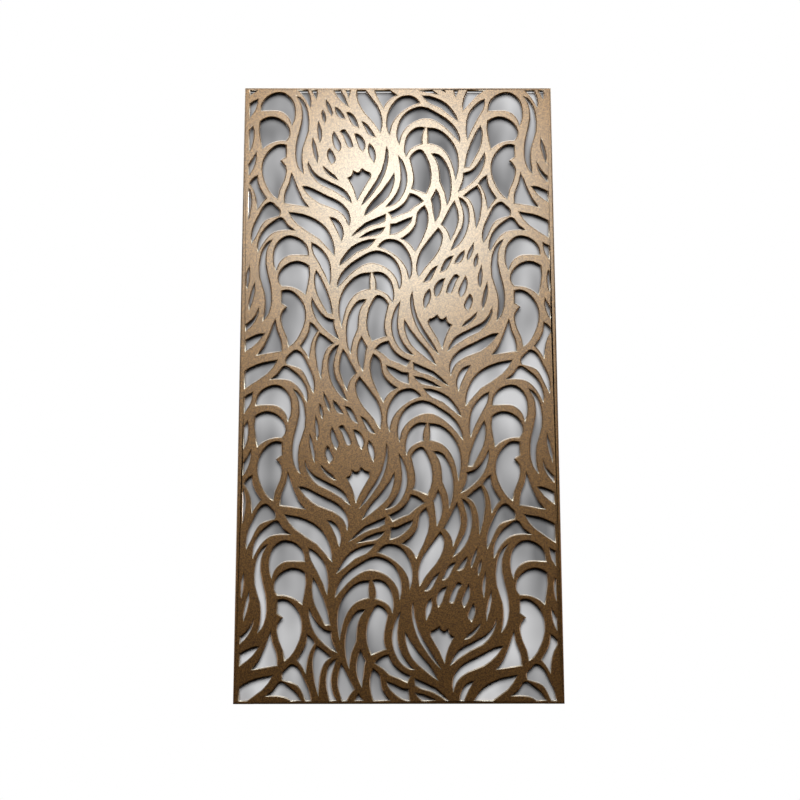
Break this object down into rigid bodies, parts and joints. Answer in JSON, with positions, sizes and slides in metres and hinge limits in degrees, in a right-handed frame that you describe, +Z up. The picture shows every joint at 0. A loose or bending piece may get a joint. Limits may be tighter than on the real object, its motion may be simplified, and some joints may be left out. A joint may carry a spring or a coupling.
{
  "type": "laser cut metal screen",
  "caption": "Tall flat metal screen with a flowing lattice of feather plumes and shells cut through one bronze plate, stiffened behind by a slim bolted bar frame.",
  "frame": {"origin": "middle of the cut plate's bottom edge: the middle of its width and of its thickness", "axes": "+Z up the screen; the cut face looks along -Y and the bar frame is on the +Y side; +X to the right seen from the front"},
  "size_m": [1.2, 0.0204, 2.4],
  "materials": {
    "bronze_coat": "satin metallic bronze coat with a fine sandy grain",
    "frame_coat": "matt dark bronze coat",
    "zinc_plate": "bright zinc plate",
    "black_oxide": "black oxide, lightly oiled",
    "stud_steel": "copper-washed steel, dulled by the coat"
  },
  "bodies": {
    "root": {"cut_plate": "bronze_coat", "top_rail": "frame_coat", "bottom_rail": "frame_coat", "left_stile": "frame_coat", "right_stile": "frame_coat", "corner_plate_top_left": "zinc_plate", "corner_plate_top_right": "zinc_plate", "corner_plate_bottom_left": "zinc_plate", "corner_plate_bottom_right": "zinc_plate", "corner_screws": "black_oxide", "weld_studs": "stud_steel", "stud_washers": "zinc_plate", "stud_nuts": "zinc_plate"}
  },
  "joints": []
}
